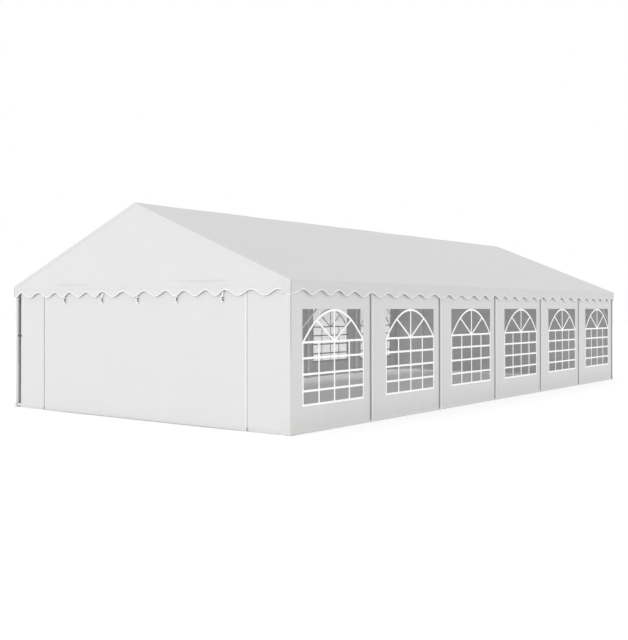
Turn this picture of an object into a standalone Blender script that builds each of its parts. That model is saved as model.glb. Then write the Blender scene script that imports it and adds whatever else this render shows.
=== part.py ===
"""Frame marquee, 6 m wide and 12 m long: steel tube portals under a fabric cover with
a scalloped valance, twelve side walls with arched windows, and a zipped door at each gable.

Metres, +Z up. The origin is on the ground, at the middle of the footprint. +Y runs along
the ridge to the back gable, and +X to the right-hand long side, seen from the front.
"""

import math

import bmesh
import bpy
from mathutils import Matrix, Vector

# Driving sizes
HALF_WIDTH = 3.0  # to the outer face of the side posts
HALF_LENGTH = 6.0  # to the outer face of the gable posts
BAYS = 6
BAY = 2 * HALF_LENGTH / BAYS
EAVE_Z = 2.034
RIDGE_Z = 3.245
SHEET_GAP = 0.0003  # between sheets, or between a sheet and a tube
FABRIC = 0.002
FILM = 0.0015

# Layers outside the long sides, each as the distance of its inner face from the posts
FILM_OUT = SHEET_GAP
WALL_OUT = FILM_OUT + FILM + SHEET_GAP
LAP_OUT = WALL_OUT + FABRIC + SHEET_GAP
VALANCE_OUT = LAP_OUT + FABRIC + SHEET_GAP
# Layers outside the gables
GABLE_WALL_OUT = SHEET_GAP
GABLE_WRAP_OUT = GABLE_WALL_OUT + FABRIC + SHEET_GAP

COVER_HALF_WIDTH = HALF_WIDTH + VALANCE_OUT + FABRIC
COVER_HALF_LENGTH = HALF_LENGTH + VALANCE_OUT + FABRIC
SLOPE = math.atan2(RIDGE_Z - EAVE_Z, COVER_HALF_WIDTH)

# Tubes
SIDES = 12
SHARP_ANGLE = math.radians(35)
POST_R = 0.030
RAFTER_R = 0.0292
RAIL_R = 0.021
GROUND_RAIL_R = 0.018
GABLE_TUBE_R = 0.024
DOOR_POST_R = 0.0232
GABLE_TUBE_INSET = 0.001
SLEEVE_R = 0.031
GROUND_SLEEVE_R = 0.026
SLEEVE_HALF = 0.06
BORE_CLEARANCE = 0.0005
BUTT_GAP = 0.0004
BORE_REACH = 0.6 * BAY
JOINT_INSET = 0.005  # a tube's end inside a sleeve, off the sleeve's own axis
BRACE_R = 0.012
BRACE_LOW_Z = 1.206
BRACE_RUN = 1.022  # from the corner post along the eave rail
CLAMP_R = 0.026
CLAMP_HALF = 0.025

POST_X = HALF_WIDTH - POST_R
END_Y = HALF_LENGTH - POST_R
GABLE_Y = HALF_LENGTH - GABLE_TUBE_R - GABLE_TUBE_INSET
ROOF_AXIS_DROP = (FABRIC + SHEET_GAP + SLEEVE_R) / math.cos(SLOPE)
RIDGE_AXIS_Z = RIDGE_Z - ROOF_AXIS_DROP
EAVE_AXIS_Z = RIDGE_AXIS_Z - POST_X * math.tan(SLOPE)
PURLIN_X = POST_X / 2
PURLIN_AXIS_Z = RIDGE_AXIS_Z - PURLIN_X * math.tan(SLOPE)
GROUND_RAIL_Z = 0.045
CROSSBAR_Z = 1.955
DOOR_HALF = 2.215
DOOR_POST_X = 2.2
RAIL_HALF_LENGTH = HALF_LENGTH - 0.0015

# Feet
PLATE_HALF = 0.05
PLATE_T = 0.006
FLARE_R = 0.044
FLARE_Z = 0.017
DOOR_PLATE_HALF = 0.04

# Walls and windows
WALL_TOP = 2.02
GABLE_WALL_TOP = 1.99
WALL_BOTTOM = 0.018
PANEL_SHIFT = 0.15  # each wall starts this far before its post, and laps the wall before it
LAP_WIDTH = 0.17
LAP_PLAY = 0.005
CORNER_GAP = 0.156  # the slit beside the two bare corner posts
WRAP = 0.15
ZIP_GAP = 0.0006
WINDOW_HALF = 0.705
WINDOW_SHIFT = -0.056  # from the middle of its bay, towards the front on both sides
WINDOW_LOW = 0.366
WINDOW_HIGH = 1.651
FILM_MARGIN = 0.03

# Scalloped edge
SCALLOPS_PER_BAY = 14 / 3
VALANCE_MID_Z = 1.8725
VALANCE_WAVE = 0.0425
POINTS_PER_SCALLOP = 8


def clear_scene():
    for obj in list(bpy.data.objects):
        bpy.data.objects.remove(obj, do_unlink=True)


def make_material(name, colour, roughness, metallic=0.0, alpha=1.0):
    material = bpy.data.materials.new(name)
    material.use_nodes = True
    shader = material.node_tree.nodes["Principled BSDF"]
    shader.inputs["Base Color"].default_value = (*colour, 1.0)
    shader.inputs["Roughness"].default_value = roughness
    shader.inputs["Metallic"].default_value = metallic
    shader.inputs["Alpha"].default_value = alpha
    material.diffuse_color = (*colour, alpha)
    return material


def make_object(name, bm, material):
    bmesh.ops.recalc_face_normals(bm, faces=bm.faces)
    mesh = bpy.data.meshes.new(name)
    bm.to_mesh(mesh)
    bm.free()
    mesh.materials.append(material)
    obj = bpy.data.objects.new(name, mesh)
    bpy.context.scene.collection.objects.link(obj)
    return obj


def extruded(name, outline, travel, material):
    """A closed solid: the flat outline, a list of points, swept along the vector travel."""
    bm = bmesh.new()
    face = bm.faces.new([bm.verts.new(point) for point in outline])
    swept = bmesh.ops.extrude_face_region(bm, geom=[face], use_keep_orig=True)
    moved = [part for part in swept["geom"] if isinstance(part, bmesh.types.BMVert)]
    bmesh.ops.translate(bm, verts=moved, vec=travel)
    return make_object(name, bm, material)


def tube(name, start, end, radius, material, end_radius=None):
    """A round bar between two points, tapered where it is given another radius for its end."""
    start = Vector(start)
    along = Vector(end) - start
    bm = bmesh.new()
    bmesh.ops.create_cone(
        bm,
        cap_ends=True,
        segments=SIDES,
        radius1=radius,
        radius2=radius if end_radius is None else end_radius,
        depth=along.length,
    )
    turn = along.to_track_quat("Z", "Y").to_matrix().to_4x4()
    bmesh.ops.transform(bm, matrix=Matrix.Translation(start + along / 2) @ turn, verts=bm.verts)
    return make_object(name, bm, material)


def block(name, low, high, material):
    low = Vector(low)
    high = Vector(high)
    outline = [(low.x, low.y, low.z), (high.x, low.y, low.z), (high.x, high.y, low.z), (low.x, high.y, low.z)]
    return extruded(name, outline, (0, 0, high.z - low.z), material)


def combine(obj, others, operation):
    """Joins each of the others to obj, or cuts it away, and removes it.

    The tubes cross corner to corner, where the exact solver leaves open edges."""
    for other in others:
        modifier = obj.modifiers.new("combine", "BOOLEAN")
        modifier.operation = operation
        modifier.solver = "MANIFOLD"
        modifier.object = other
        graph = bpy.context.evaluated_depsgraph_get()
        mesh = bpy.data.meshes.new_from_object(obj.evaluated_get(graph))
        obj.modifiers.clear()
        obj.data = mesh
        bpy.data.objects.remove(other, do_unlink=True)
    return obj


def shade_round(obj):
    obj.data.shade_smooth()
    obj.data.set_sharp_from_angle(angle=SHARP_ANGLE)


def turn_half_way(obj):
    """Turn obj 180 degrees about the vertical through the middle of the tent."""
    obj.data.transform(Matrix.Rotation(math.pi, 4, "Z"))


def turned_half_way(obj, name):
    """A copy of obj, turned half way round."""
    copy = obj.copy()
    copy.data = obj.data.copy()
    copy.name = name
    turn_half_way(copy)
    bpy.context.scene.collection.objects.link(copy)
    return copy


def side_rails(side):
    """(x, z, rail radius, sleeve radius) of the rails that the posts of one side carry."""
    return [
        (side * POST_X, EAVE_AXIS_Z, RAIL_R, SLEEVE_R),
        (side * POST_X, GROUND_RAIL_Z, GROUND_RAIL_R, GROUND_SLEEVE_R),
    ]


def roof_rails():
    """The same for the rails that the rafters carry."""
    return [
        (-PURLIN_X, PURLIN_AXIS_Z, RAIL_R, SLEEVE_R),
        (0.0, RIDGE_AXIS_Z, RAIL_R, SLEEVE_R),
        (PURLIN_X, PURLIN_AXIS_Z, RAIL_R, SLEEVE_R),
    ]


def sleeves(rails, y, steel):
    """A short sleeve on each rail where the portal at y holds it, cut off at the rails' ends."""
    low = max(y - SLEEVE_HALF, -RAIL_HALF_LENGTH)
    high = min(y + SLEEVE_HALF, RAIL_HALF_LENGTH)
    return [tube("sleeve", (x, low, z), (x, high, z), radius, steel) for x, z, _, radius in rails]


def bores(rails, y, steel):
    return [
        tube("bore", (x, y - BORE_REACH, z), (x, y + BORE_REACH, z), radius + BORE_CLEARANCE, steel)
        for x, z, radius, _ in rails
    ]


def frame_post(name, side, y, steel):
    """A post on a flared foot, with a sleeve for the eave rail and one for the ground rail.
    The corner posts have a knee brace as well, clamped to the eave rail."""
    x = side * POST_X
    rails = side_rails(side)
    parts = [
        tube("post", (x, y, PLATE_T / 2), (x, y, EAVE_AXIS_Z + JOINT_INSET), POST_R, steel),
        block("plate", (x - PLATE_HALF, y - PLATE_HALF, 0), (x + PLATE_HALF, y + PLATE_HALF, PLATE_T), steel),
        tube("flare", (x, y, PLATE_T / 2), (x, y, FLARE_Z), FLARE_R, steel, RAFTER_R),
    ]
    parts += sleeves(rails, y, steel)
    if abs(y) == END_Y:
        clamp_y = y - math.copysign(BRACE_RUN, y)
        parts.append(tube("brace", (x, y, BRACE_LOW_Z), (x, clamp_y, EAVE_AXIS_Z), BRACE_R, steel))
        low = (x, clamp_y - CLAMP_HALF, EAVE_AXIS_Z)
        high = (x, clamp_y + CLAMP_HALF, EAVE_AXIS_Z)
        parts.append(tube("clamp", low, high, CLAMP_R, steel))
    post = combine(parts[0], parts[1:], "UNION")
    combine(post, bores(rails, y, steel), "DIFFERENCE")
    post.name = name
    shade_round(post)
    return post


def rafter_pair(name, y, steel):
    """Two rafters that meet at the ridge, with their sleeves. Their feet are cut to the round of
    the posts and of the eave sleeves."""
    ridge = Vector((0, y, RIDGE_AXIS_Z))
    parts = sleeves(roof_rails(), y, steel)
    cutters = bores(roof_rails(), y, steel)
    for side in (-1, 1):
        x = side * POST_X
        eave = Vector((x, y, EAVE_AXIS_Z))
        inside = (ridge - eave).normalized() * JOINT_INSET
        parts.append(tube("rafter", eave, ridge - inside, RAFTER_R, steel))
        post_top = EAVE_AXIS_Z + JOINT_INSET + BUTT_GAP
        cutters.append(tube("post", (x, y, EAVE_AXIS_Z / 2), (x, y, post_top), POST_R + BUTT_GAP, steel))
        low = (x, y - 2 * SLEEVE_HALF, EAVE_AXIS_Z)
        high = (x, y + 2 * SLEEVE_HALF, EAVE_AXIS_Z)
        cutters.append(tube("sleeve", low, high, SLEEVE_R + BUTT_GAP, steel))
    pair = combine(parts[0], parts[1:], "UNION")
    combine(pair, cutters, "DIFFERENCE")
    pair.name = name
    shade_round(pair)
    return pair


def gable_frame(name, side, steel):
    """Crossbar, ground rail and two door posts, butted between the corner posts of one gable."""
    y = side * GABLE_Y
    reach = POST_X - POST_R - BUTT_GAP
    parts = [
        tube("crossbar", (-reach, y, CROSSBAR_Z), (reach, y, CROSSBAR_Z), GABLE_TUBE_R, steel),
        tube("ground", (-reach, y, GROUND_RAIL_Z), (reach, y, GROUND_RAIL_Z), GROUND_RAIL_R, steel),
    ]
    for x in (-DOOR_POST_X, DOOR_POST_X):
        parts.append(tube("door_post", (x, y, PLATE_T / 2), (x, y, CROSSBAR_Z), DOOR_POST_R, steel))
        low = (x - DOOR_PLATE_HALF, y - DOOR_PLATE_HALF, 0)
        high = (x + DOOR_PLATE_HALF, y + DOOR_PLATE_HALF, PLATE_T)
        parts.append(block("plate", low, high, steel))
    frame = combine(parts[0], parts[1:], "UNION")
    frame.name = name
    shade_round(frame)
    return frame


def scalloped(length):
    """(distance from the middle, height) along one side's lower edge, lowest at each corner."""
    scallops = round(2 * length / BAY * SCALLOPS_PER_BAY)
    steps = scallops * POINTS_PER_SCALLOP
    points = []
    for step in range(steps + 1):
        wave = math.cos(2 * math.pi * step / POINTS_PER_SCALLOP)
        points.append((length * (2 * step / steps - 1), VALANCE_MID_Z - VALANCE_WAVE * wave))
    return points


def roof_slope(name, side, fabric):
    drop = FABRIC / math.cos(SLOPE)
    start = side * SHEET_GAP / 2
    end = side * COVER_HALF_WIDTH
    y = -COVER_HALF_LENGTH
    outline = [(start, y, RIDGE_Z), (end, y, EAVE_Z), (end, y, EAVE_Z - drop), (start, y, RIDGE_Z - drop)]
    return extruded(name, outline, (0, 2 * COVER_HALF_LENGTH, 0), fabric)


def under_slope(x):
    """Height of the top edge of a sheet that hangs just under the roof cover, at distance x."""
    clearance = (FABRIC + SHEET_GAP) / math.cos(SLOPE)
    return RIDGE_Z - abs(x) * math.tan(SLOPE) - clearance


def roof_gable(name, side, fabric):
    """The triangle over a gable, with its scalloped valance."""
    half = HALF_WIDTH + VALANCE_OUT - SHEET_GAP
    y = side * (HALF_LENGTH + VALANCE_OUT)
    outline = [(x, y, z) for x, z in scalloped(half)]
    outline += [(half, y, under_slope(half)), (0, y, under_slope(0)), (-half, y, under_slope(half))]
    return extruded(name, outline, (0, side * FABRIC, 0), fabric)


def side_valance(name, side, fabric):
    x = side * (HALF_WIDTH + VALANCE_OUT)
    top = under_slope(COVER_HALF_WIDTH)
    outline = [(x, y, z) for y, z in scalloped(COVER_HALF_LENGTH)]
    outline += [(x, COVER_HALF_LENGTH, top), (x, -COVER_HALF_LENGTH, top)]
    return extruded(name, outline, (side * FABRIC, 0, 0), fabric)


def upright_sheet(name, plan, low, high, fabric):
    return extruded(name, [(x, y, low) for x, y in plan], (0, 0, high - low), fabric)


def window_cutter(centre_y, fabric):
    reach = 5 * FABRIC
    low = (HALF_WIDTH + WALL_OUT - reach, centre_y - WINDOW_HALF, WINDOW_LOW)
    high = (HALF_WIDTH + WALL_OUT + reach, centre_y + WINDOW_HALF, WINDOW_HIGH)
    return block("window_cutter", low, high, fabric)


def right_wall(name, bay, window_shift, fabric):
    """One 2 m wall of the right side. It laps over the wall before it, or wraps the first corner."""
    inner = HALF_WIDTH + WALL_OUT
    outer = inner + FABRIC
    start = -HALF_LENGTH + bay * BAY - PANEL_SHIFT
    end = start + BAY + LAP_WIDTH - LAP_PLAY
    if bay == BAYS - 1:
        end = HALF_LENGTH - CORNER_GAP
    if bay == 0:
        near = HALF_LENGTH + GABLE_WRAP_OUT
        far = near + FABRIC
        plan = [
            (inner - WRAP, -far),
            (outer, -far),
            (outer, end),
            (inner, end),
            (inner, -near),
            (inner - WRAP, -near),
        ]
    else:
        lap_inner = HALF_WIDTH + LAP_OUT
        lap_outer = lap_inner + FABRIC
        turn = start + LAP_WIDTH
        plan = [
            (lap_inner, start),
            (lap_outer, start),
            (lap_outer, turn + FABRIC),
            (outer, turn + FABRIC),
            (outer, end),
            (inner, end),
            (inner, turn),
            (lap_inner, turn),
        ]
    wall = upright_sheet(name, plan, WALL_BOTTOM, WALL_TOP, fabric)
    centre = -HALF_LENGTH + (bay + 0.5) * BAY + window_shift
    combine(wall, [window_cutter(centre, fabric)], "DIFFERENCE")
    return wall


def window_film(name, window_shift, clear):
    """One clear sheet behind all six windows of the right side, between the posts and the walls."""
    inner = HALF_WIDTH + FILM_OUT
    first = -HALF_LENGTH + BAY / 2 + window_shift - WINDOW_HALF - FILM_MARGIN
    last = HALF_LENGTH - BAY / 2 + window_shift + WINDOW_HALF + FILM_MARGIN
    low = (inner, first, WINDOW_LOW - FILM_MARGIN)
    high = (inner + FILM, last, WINDOW_HIGH + FILM_MARGIN)
    return block(name, low, high, clear)


def front_sheet(name, left, right, fabric):
    y = -(HALF_LENGTH + GABLE_WALL_OUT)
    return block(name, (left, y - FABRIC, WALL_BOTTOM), (right, y, GABLE_WALL_TOP), fabric)


def build_frame(steel):
    for number in range(BAYS + 1):
        y = min(max(-HALF_LENGTH + number * BAY, -END_Y), END_Y)
        frame_post(f"post_left_{number + 1}", -1, y, steel)
        frame_post(f"post_right_{number + 1}", 1, y, steel)
        rafter_pair(f"rafter_pair_{number + 1}", y, steel)
    names = [
        "eave_rail_left",
        "ground_rail_left",
        "eave_rail_right",
        "ground_rail_right",
        "purlin_left",
        "ridge_beam",
        "purlin_right",
    ]
    rails = side_rails(-1) + side_rails(1) + roof_rails()
    for name, (x, z, radius, _) in zip(names, rails):
        shade_round(tube(name, (x, -RAIL_HALF_LENGTH, z), (x, RAIL_HALF_LENGTH, z), radius, steel))
    gable_frame("gable_frame_front", -1, steel)
    gable_frame("gable_frame_back", 1, steel)


def build_cover(fabric):
    for side, word in ((-1, "left"), (1, "right")):
        roof_slope(f"roof_slope_{word}", side, fabric)
        side_valance(f"valance_{word}", side, fabric)
    roof_gable("roof_gable_front", -1, fabric)
    roof_gable("roof_gable_back", 1, fabric)


def build_walls(fabric, clear):
    for bay in range(BAYS):
        right_wall(f"side_wall_right_{bay + 1}", bay, WINDOW_SHIFT, fabric)
        turn_half_way(right_wall(f"side_wall_left_{BAYS - bay}", bay, -WINDOW_SHIFT, fabric))
    window_film("window_film_right", WINDOW_SHIFT, clear)
    turn_half_way(window_film("window_film_left", -WINDOW_SHIFT, clear))
    left_edge = -(HALF_WIDTH - CORNER_GAP)
    right_edge = HALF_WIDTH - POST_R
    sheets = [
        ("gable_wall_front_left", "gable_wall_back_right", left_edge, -DOOR_HALF - ZIP_GAP / 2),
        ("door_front", "door_back", -DOOR_HALF + ZIP_GAP / 2, DOOR_HALF - ZIP_GAP / 2),
        ("gable_wall_front_right", "gable_wall_back_left", DOOR_HALF + ZIP_GAP / 2, right_edge),
    ]
    for front_name, back_name, left, right in sheets:
        turned_half_way(front_sheet(front_name, left, right, fabric), back_name)


def main():
    clear_scene()
    steel = make_material("white_steel", (0.82, 0.82, 0.83), 0.4, metallic=0.0)
    fabric = make_material("white_fabric", (0.86, 0.86, 0.86), 0.55)
    clear = make_material("clear_film", (0.72, 0.74, 0.74), 0.15, alpha=0.35)
    build_frame(steel)
    build_cover(fabric)
    build_walls(fabric, clear)


main()
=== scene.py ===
import math

import bpy
from mathutils import Matrix, Vector, noise


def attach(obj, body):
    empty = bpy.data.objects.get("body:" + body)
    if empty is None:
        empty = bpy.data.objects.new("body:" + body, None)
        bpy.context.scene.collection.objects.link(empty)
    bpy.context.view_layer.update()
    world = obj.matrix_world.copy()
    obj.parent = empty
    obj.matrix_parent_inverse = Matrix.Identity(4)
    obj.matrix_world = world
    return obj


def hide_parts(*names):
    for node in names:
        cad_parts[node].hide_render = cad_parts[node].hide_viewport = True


# Frame marquee, 6 x 12 m. Metres, +Z up; the front gable faces -Y and the right side +X.
# The back and the left side are the front and the right side turned half way round.

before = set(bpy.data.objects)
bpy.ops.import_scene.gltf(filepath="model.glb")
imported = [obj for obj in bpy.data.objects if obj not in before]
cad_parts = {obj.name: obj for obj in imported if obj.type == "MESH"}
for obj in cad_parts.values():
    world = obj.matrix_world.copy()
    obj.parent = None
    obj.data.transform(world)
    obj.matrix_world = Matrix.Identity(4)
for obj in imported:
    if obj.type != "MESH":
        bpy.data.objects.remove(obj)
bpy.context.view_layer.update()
scene = bpy.context.scene

tent = {
    "halfWidth": 3.0,
    "halfLength": 6.0,
    "bays": 6,
    "bay": 2.0,
    "purlin": 1.485,
    "coverHalfWidth": 3.0087,
    "coverHalfLength": 6.0087,
    "eaveHeight": 2.034,
    "ridgeHeight": 3.245,
}
halfWidth, halfLength = tent["halfWidth"], tent["halfLength"]
coverHalfWidth, coverHalfLength = tent["coverHalfWidth"], tent["coverHalfLength"]
slopeTan = (tent["ridgeHeight"] - tent["eaveHeight"]) / coverHalfWidth
slopeAngle = math.atan(slopeTan)


# shader nodes
def feed(tree, node, inputs):
    for key, value in inputs.items():
        if isinstance(value, bpy.types.NodeSocket):
            tree.links.new(value, node.inputs[key])
        else:
            node.inputs[key].default_value = value


def addNode(tree, kind, inputs=None, **settings):
    node = tree.nodes.new(f"ShaderNode{kind}")
    for key, value in settings.items():
        setattr(node, key, value)
    feed(tree, node, inputs or {})
    return node.outputs


def newMaterial(name, wire, look):
    material = bpy.data.materials.new(name)
    material.use_nodes = True
    tree = material.node_tree
    feed(tree, tree.nodes["Principled BSDF"], wire(tree, addNode(tree, "TexCoord"), look))
    return material


def maths(tree, operation, first, second=0.0):
    return addNode(tree, "Math", {0: first, 1: second}, operation=operation)[0]


def scaled(tree, value, factor, more=0.0):
    return addNode(tree, "Math", {0: value, 1: factor, 2: more}, operation="MULTIPLY_ADD")[0]


def mapped(tree, value, low, high, first=0.0, last=1.0, smooth=True):
    inputs = {"Value": value, "From Min": low, "From Max": high, "To Min": first, "To Max": last}
    return addNode(tree, "MapRange", inputs, interpolation_type="SMOOTHSTEP" if smooth else "LINEAR")[0]


def noiseOf(tree, vector, scale, detail, rough=0.5, output="Fac"):
    inputs = {"Vector": vector, "Scale": scale, "Detail": detail, "Roughness": rough}
    return addNode(tree, "TexNoise", inputs)[output]


def bumped(tree, height, strength, distance, under=None):
    inputs = {"Height": height, "Strength": strength, "Distance": distance}
    if under is not None:
        inputs["Normal"] = under
    return addNode(tree, "Bump", inputs)["Normal"]


def axisOf(tree, vector, axis):
    return addNode(tree, "SeparateXYZ", {0: vector})[axis]


def asColour(value):
    # a grey is written as one number
    if isinstance(value, bpy.types.NodeSocket):
        return value
    return (*value, 1) if isinstance(value, tuple) else (value, value, value, 1)


def blendColour(tree, share, first, second):
    return addNode(tree, "Mix", {0: share, 6: asColour(first), 7: asColour(second)}, data_type="RGBA")[2]


# camera, light and floor
view = {
    "place": (10.4718, -15.1787, 1.6558),
    "turn": (90.0, 0.0, 36.624),
    "lens": 51.267,
    "sensor": 36.0,
    "shift": (-0.02642, -0.01776),
    "reach": 400.0,
}
studio = {
    "sky": 1.0,
    "sun": 0.75,
    "sunTurn": (76.0, 0.0, 2.0),
    "sunSpread": 30.0,
    "floorSize": 160.0,
    "floorDrop": 0.001,
    "floorTone": 0.9,
    "floorGlow": 0.2,
    "insideGlow": (0.12, 0.36),
    "insideReach": (1.4, 2.8),
    "shadeEdge": 0.06,
}


def radiansOf(angles):
    return [math.radians(angle) for angle in angles]


def addCamera():
    bpy.ops.object.camera_add(location=view["place"], rotation=radiansOf(view["turn"]))
    camera = bpy.context.object
    camera.data.lens = view["lens"]
    camera.data.sensor_width = view["sensor"]
    camera.data.sensor_fit = "AUTO"
    camera.data.shift_x, camera.data.shift_y = view["shift"]
    camera.data.clip_end = view["reach"]
    scene.camera = camera


def wireFloor(tree, place, look):
    away = {axis: maths(tree, "ABSOLUTE", axisOf(tree, place["Object"], axis)) for axis in "XY"}
    # the floor glows evenly outside the tent; under the tent the glow is cut off, painted shade where the tent
    # stands
    outside = 0.0
    for axis, half in (("X", halfWidth), ("Y", halfLength)):
        edge = mapped(tree, away[axis], half, half + look["shadeEdge"], smooth=False)
        outside = maths(tree, "MAXIMUM", outside, edge)
    # painted light: a weaker glow on the floor along the side walls, standing in for light that falls in
    # through the windows
    inside = mapped(tree, away["X"], *look["insideReach"], *look["insideGlow"])
    return {
        "Base Color": asColour(look["floorTone"]),
        "Roughness": 0.9,
        "Specular IOR Level": 0.1,
        "Emission Strength": mapped(tree, outside, 0.0, 1.0, inside, look["floorGlow"], smooth=False),
        "Emission Color": asColour(1.0),
    }


def addStudio():
    world = bpy.data.worlds.new("studio")
    world.use_nodes = True
    scene.world = world
    tree = world.node_tree
    feed(tree, tree.nodes["Background"], {"Color": asColour(1.0), "Strength": studio["sky"]})
    bpy.ops.object.light_add(type="SUN", rotation=radiansOf(studio["sunTurn"]))
    lamp = bpy.context.object.data
    lamp.energy = studio["sun"]
    lamp.angle = math.radians(studio["sunSpread"])
    scene.view_settings.view_transform = "Standard"
    bpy.ops.mesh.primitive_plane_add(size=studio["floorSize"], location=(0, 0, -studio["floorDrop"]))
    floor = bpy.context.object
    floor.name = "studioFloor"
    floor.data.materials.append(newMaterial("paleFloor", wireFloor, studio))


# shader groups
bandScale = 0.314  # the wave texture's scale for one band a metre


def newGroup(name, wire, numbers):
    group = bpy.data.node_groups.new(name, "ShaderNodeTree")
    newSocket = group.interface.new_socket
    newSocket("Vector", in_out="INPUT", socket_type="NodeSocketVector")
    for label, value in numbers.items():
        newSocket(label, in_out="INPUT", socket_type="NodeSocketFloat").default_value = value
    results = wire(group, group.nodes.new("NodeGroupInput").outputs)
    for label in results:
        newSocket(label, in_out="OUTPUT", socket_type="NodeSocketFloat")
    feed(group, group.nodes.new("NodeGroupOutput"), results)
    return group


def wireWeave(group, given):
    wave = {"Vector": given["Vector"], "Scale": scaled(group, given["Threads"], bandScale),
            "Distortion": 0.6, "Detail": 1.0, "Detail Scale": 3.0}
    bands = [addNode(group, "TexWave", wave, bands_direction=axis)["Fac"] for axis in "XY"]
    cloud = noiseOf(group, given["Vector"], given["Cloud"], 5.0, 0.55)
    return {"Height": maths(group, "MAXIMUM", *bands), "Tone": cloud}


def wireCreases(group, given):
    bend = noiseOf(group, given["Vector"], 1.1, 2.0, output="Color")
    bent = addNode(group, "VectorMath", {0: given["Vector"], 1: bend}, operation="ADD")[0]
    cells = {"Vector": bent, "Scale": given["Size"]}
    edge = addNode(group, "TexVoronoi", cells, feature="DISTANCE_TO_EDGE")["Distance"]
    near = mapped(group, edge, 0.0, given["Width"], 1.0, 0.0)
    soft = scaled(group, noiseOf(group, given["Vector"], 3.2, 3.0), 0.8)
    return {"Height": scaled(group, near, 0.3, soft)}


# darker towards the foot, in patches and speckles: partly dust, partly painted shade near the ground
def wireDustAndShade(group, given):
    low = mapped(group, axisOf(group, given["Vector"], "Z"), 0.0, given["Top"], 1.0, 0.0)
    patches = maths(group, "ADD", noiseOf(group, given["Vector"], 5.0, 6.0), 0.25)
    speckles = scaled(group, noiseOf(group, given["Vector"], 60.0, 3.0), 0.6, 0.7)
    spread = scaled(group, scaled(group, low, patches), speckles)
    return {"Mask": scaled(group, spread, given["Amount"])}


def wireWear(group, given):
    stretch = {0: given["Vector"], 1: (1.0, 1.0, 0.12)}
    streaks = noiseOf(group, addNode(group, "VectorMath", stretch, operation="MULTIPLY")[0], 90.0, 4.0)
    spots = noiseOf(group, given["Vector"], given["Scale"], 8.0, 0.7)
    worn = mapped(group, spots, 0.52, 0.72, smooth=False)
    return {"Mask": scaled(group, worn, given["Amount"]), "Height": maths(group, "ADD", streaks, spots)}


groups = {
    "weave": newGroup("coatedWeave", wireWeave, {"Threads": 520.0, "Cloud": 1.3}),
    "crease": newGroup("packedCreases", wireCreases, {"Size": 1.6, "Width": 0.05}),
    "dust": newGroup("groundDust", wireDustAndShade, {"Top": 0.35, "Amount": 0.5}),
    "wear": newGroup("tubeWear", wireWear, {"Scale": 14.0, "Amount": 0.5}),
}


def placed(tree, key, vector, **numbers):
    inputs = {"Vector": vector, **{label.capitalize(): value for label, value in numbers.items()}}
    return addNode(tree, "Group", inputs, node_tree=groups[key])


# fabric, film, steel and trim; what a fabric doesn't name is as in plainFabric
plainFabric = {
    "dusty": (0.56, 0.55, 0.53),
    "dust": 0.0,
    "rough": 0.42,
    "weave": 0.00016,
    "crease": 0.0,
    "stitch": 0.0,
}
fabrics = {
    # the roof's cloth is painted a little darker than the same cloth of the walls and gables: painted shade
    "roofFabric": {"tone": 0.592, "crease": 0.006},
    "gableFabric": {"tone": 0.621, "dust": 0.10, "crease": 0.004},
    # the walls darken towards their foot: partly dust, partly painted shade near the ground
    "wallFabric": {"tone": 0.623, "dusty": (0.53, 0.52, 0.50), "dust": 0.45, "crease": 0.004},
    "hemFabric": {"tone": 0.625, "dusty": (0.54, 0.53, 0.51), "dust": 0.3, "rough": 0.38,
                  "weave": 0.00022, "stitch": 0.0009},
    # painted highlight: the flaps' edges are lighter than the walls' cloth
    "flapFabric": {"tone": 0.80, "dusty": (0.62, 0.61, 0.59), "dust": 0.3, "rough": 0.3, "weave": 0.00012},
    "bindingTape": {"tone": 0.80, "rough": 0.38, "weave": 0.00022, "stitch": 0.0009},
}
stitch = {"length": 0.008, "gap": 0.12, "row": 0.0045, "width": 0.0012}


def stitchHeight(tree, uv):
    # two rows of stitches along a strip, whose pattern runs along x and across y
    dash = maths(tree, "PINGPONG", axisOf(tree, uv, "X"), stitch["length"] / 2)
    sewn = maths(tree, "GREATER_THAN", dash, stitch["length"] * stitch["gap"])
    across = maths(tree, "ABSOLUTE", axisOf(tree, uv, "Y"))
    fromRow = maths(tree, "ABSOLUTE", maths(tree, "SUBTRACT", across, stitch["row"]))
    return scaled(tree, sewn, maths(tree, "LESS_THAN", fromRow, stitch["width"]))


def wireFabric(tree, place, look):
    look = {**plainFabric, **look}
    weave = placed(tree, "weave", place["UV"])
    dust = placed(tree, "dust", place["Object"], amount=look["dust"])["Mask"]
    clean = blendColour(tree, weave["Tone"], look["tone"] * 0.97, min(1, look["tone"] * 1.03))
    relief = None
    if look["crease"]:
        relief = bumped(tree, placed(tree, "crease", place["Object"])["Height"], 0.5, look["crease"])
    if look["stitch"]:
        relief = bumped(tree, stitchHeight(tree, place["UV"]), 0.7, look["stitch"], relief)
    return {
        "Base Color": blendColour(tree, dust, clean, look["dusty"]),
        "Roughness": scaled(tree, dust, 0.5, scaled(tree, weave["Tone"], 0.16, look["rough"] - 0.08)),
        "Normal": bumped(tree, weave["Height"], 0.6, look["weave"], relief),
        "Specular IOR Level": 0.4,
    }


# one white paint in two tones: the frame inside the tent is painted lighter, a painted highlight for the dim
# inside, and the four bare corner posts darker, painted shade to suit their full light
steels = {
    "paintedSteel": {"tone": 0.92, "worn": 0.70, "wear": 0.3, "rough": 0.3, "metal": 0.0},
    "cornerSteel": {"tone": (0.65, 0.65, 0.655), "worn": 0.52, "wear": 0.3, "rough": 0.4, "metal": 0.0},
    # the zinc steel is near-black: partly dull galvanised steel, partly painted shade so the ground rails read
    # dark at the walls' foot
    "zincSteel": {"tone": (0.27, 0.275, 0.28), "worn": 0.18, "wear": 0.6, "rough": 0.35, "metal": 0.2},
}
steelDust = {"colour": (0.5, 0.49, 0.46), "top": 0.25, "amount": 0.5}


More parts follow.
